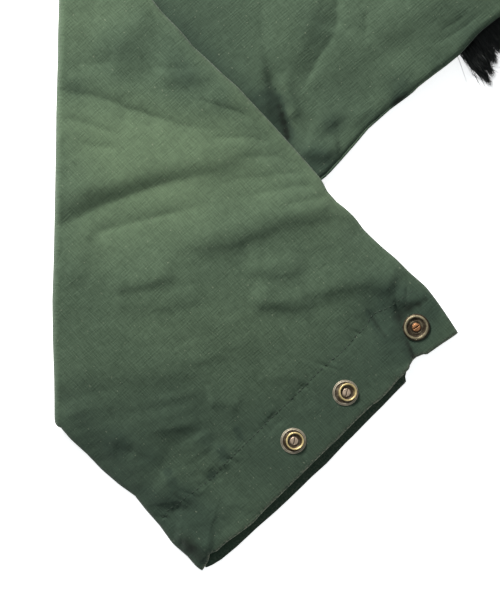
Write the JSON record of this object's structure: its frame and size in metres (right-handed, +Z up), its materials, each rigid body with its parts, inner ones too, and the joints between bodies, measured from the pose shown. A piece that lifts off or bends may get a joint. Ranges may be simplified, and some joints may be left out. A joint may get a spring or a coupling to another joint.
{
  "type": "hunting jacket",
  "caption": "Cotton hunting jacket laid flat, front up, sleeves folded back at the elbow, with stand collar, snap front and cuffs, flap pockets and a fur-trimmed hood folded under one shoulder.",
  "frame": {"origin": "middle of the garment's outline, on the surface it lies on", "axes": "+Z up from the table out of the front of the garment, +Y towards the collar, +X towards the wearer's left sleeve"},
  "size_m": [1.1252, 0.8624, 0.0163],
  "materials": {
    "shell_cloth": "slubby dark sage green cotton canvas, washed and slightly faded",
    "trim_cloth": "the same cotton canvas, doubled on small pieces",
    "black_fur": "long black fur trim",
    "antique_brass": "dark antique brass snaps, rubbed bright on the rims"
  },
  "bodies": {
    "root": {"back": "shell_cloth", "front_r": "shell_cloth", "front_l": "shell_cloth", "sleeve_back_r": "shell_cloth", "sleeve_front_r": "shell_cloth", "sleeve_back_l": "shell_cloth", "sleeve_front_l": "shell_cloth", "hood": "shell_cloth", "collar": "trim_cloth", "placket": "trim_cloth", "pocket_r": "trim_cloth", "pocket_l": "trim_cloth", "flap_r": "trim_cloth", "flap_l": "trim_cloth", "ruff": "black_fur", "cuff_socket_r": "antique_brass", "cuff_stud_upper_r": "antique_brass", "cuff_stud_lower_r": "antique_brass", "cuff_socket_l": "antique_brass", "cuff_stud_upper_l": "antique_brass", "cuff_stud_lower_l": "antique_brass", "placket_snap_1": "antique_brass", "placket_snap_2": "antique_brass", "placket_snap_3": "antique_brass", "placket_snap_4": "antique_brass", "placket_snap_5": "antique_brass", "placket_snap_6": "antique_brass", "flap_snap_r": "antique_brass", "flap_snap_l": "antique_brass"}
  },
  "joints": []
}
